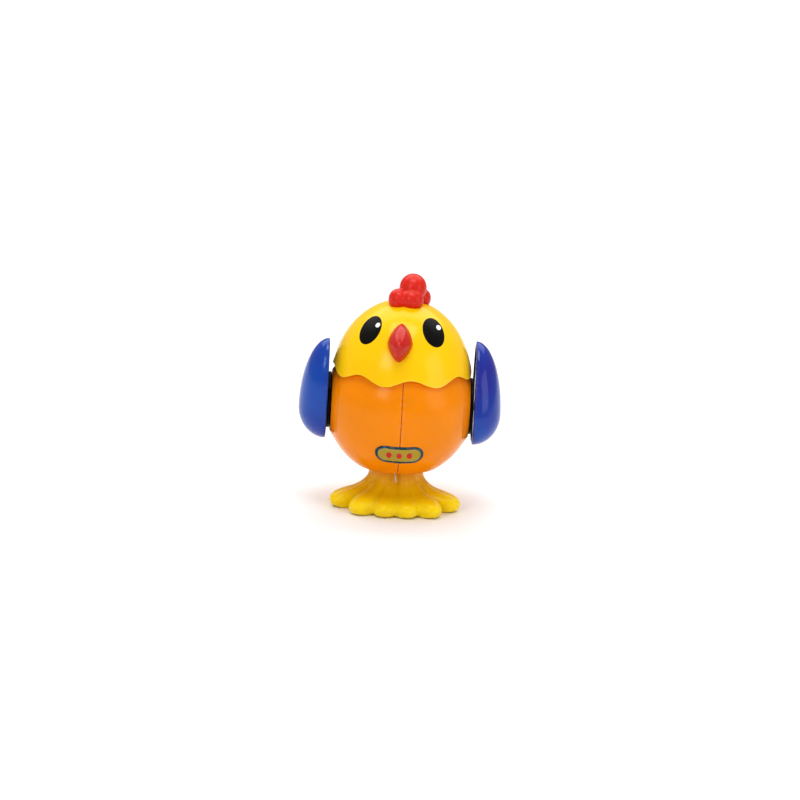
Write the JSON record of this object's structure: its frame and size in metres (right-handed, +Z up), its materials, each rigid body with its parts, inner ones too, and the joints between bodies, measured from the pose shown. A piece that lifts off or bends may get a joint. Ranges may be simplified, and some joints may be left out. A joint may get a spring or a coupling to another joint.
{
  "type": "wind-up hopping chicken",
  "caption": "Wind-up hopping chick toy with a ball body, wavy-brimmed head cap, wing-shaped winding knobs, spring motor and one kicking six-toed foot.",
  "frame": {"origin": "on the floor under the middle of the body", "axes": "+Z up, the face looks towards -Y, +X is the viewer's right when facing the toy, and the winding arbor runs along X"},
  "size_m": [0.1114, 0.0824, 0.131],
  "materials": {
    "orange": "gloss moulded",
    "yellow": "gloss moulded",
    "blue": "gloss moulded",
    "red": "satin moulded",
    "black": "gloss",
    "gold": "satin print",
    "nylon": "natural nylon",
    "steel": "bright",
    "brass": "turned"
  },
  "bodies": {
    "casing": {"body_left": "orange", "body_right": "orange", "head_shell": "yellow", "eye_left": "black", "eye_right": "black", "beak": "red", "comb": "red", "badge_rim": "black", "badge_field": "gold", "motor_plate_left": "steel", "motor_plate_right": "steel", "foot_pivot_pin": "steel", "click_pin": "steel", "governor_cup": "brass", "arbor_bush_left": "nylon", "arbor_bush_right": "nylon", "pillar_1": "steel", "pillar_2": "steel", "pillar_3": "steel", "pillar_4": "steel", "body_screw_1": "steel", "body_screw_2": "steel"},
    "winder": {"winding_arbor": "steel", "ratchet_wheel": "steel", "wing_left_shell": "blue", "wing_left_cover": "blue", "wing_left_hub": "black", "wing_right_shell": "blue", "wing_right_cover": "blue", "wing_right_hub": "black"},
    "click": {"click": "brass"},
    "barrel": {"barrel_drum": "brass", "barrel_lid": "brass", "mainspring": "steel"},
    "intermediate": {"intermediate_arbor": "steel", "intermediate_pinion": "nylon", "intermediate_wheel": "nylon"},
    "crank": {"crankshaft": "steel", "crank_pinion": "nylon", "crank_wheel": "nylon"},
    "governor": {"governor_arbor": "steel", "governor_pinion": "nylon", "governor_rotor": "nylon", "brake_weight_1": "brass", "brake_weight_2": "brass"},
    "foot": {"foot": "yellow", "sole_plate": "yellow", "leg_lever": "nylon", "foot_spring": "steel", "sole_screw_left": "steel", "sole_screw_right": "steel"}
  },
  "joints": [
    {"name": "winding", "type": "hinge", "parent": "casing", "child": "winder", "pos_m": [0, 0, 0.058], "axis": [1, 0, 0], "continuous": true},
    {"name": "click_lift", "type": "hinge", "parent": "casing", "child": "click", "pos_m": [0, 0.0085, 0.0715], "axis": [1, 0, 0], "range_deg": [-12, 0], "stiffness_Nm_per_rad": 0.0005, "springref_deg": 5.73},
    {"name": "barrel_turn", "type": "hinge", "parent": "casing", "child": "barrel", "pos_m": [0, 0, 0.058], "axis": [1, 0, 0], "continuous": true},
    {"name": "intermediate_turn", "type": "hinge", "parent": "casing", "child": "intermediate", "pos_m": [0, 0.01173, 0.04435], "axis": [1, 0, 0], "continuous": true},
    {"name": "crank_turn", "type": "hinge", "parent": "casing", "child": "crank", "pos_m": [0, 0, 0.036], "axis": [1, 0, 0], "continuous": true},
    {"name": "governor_turn", "type": "hinge", "parent": "casing", "child": "governor", "pos_m": [0, -0.00924, 0.04031], "axis": [1, 0, 0], "continuous": true},
    {"name": "foot_kick", "type": "hinge", "parent": "casing", "child": "foot", "pos_m": [0, 0, 0.026], "axis": [1, 0, 0], "range_deg": [-10, 10]}
  ],
  "couplings": [
    {"joint": "intermediate_turn", "follows": "barrel_turn", "ratio": -4},
    {"joint": "crank_turn", "follows": "barrel_turn", "ratio": 12},
    {"joint": "governor_turn", "follows": "barrel_turn", "ratio": -28.8}
  ]
}
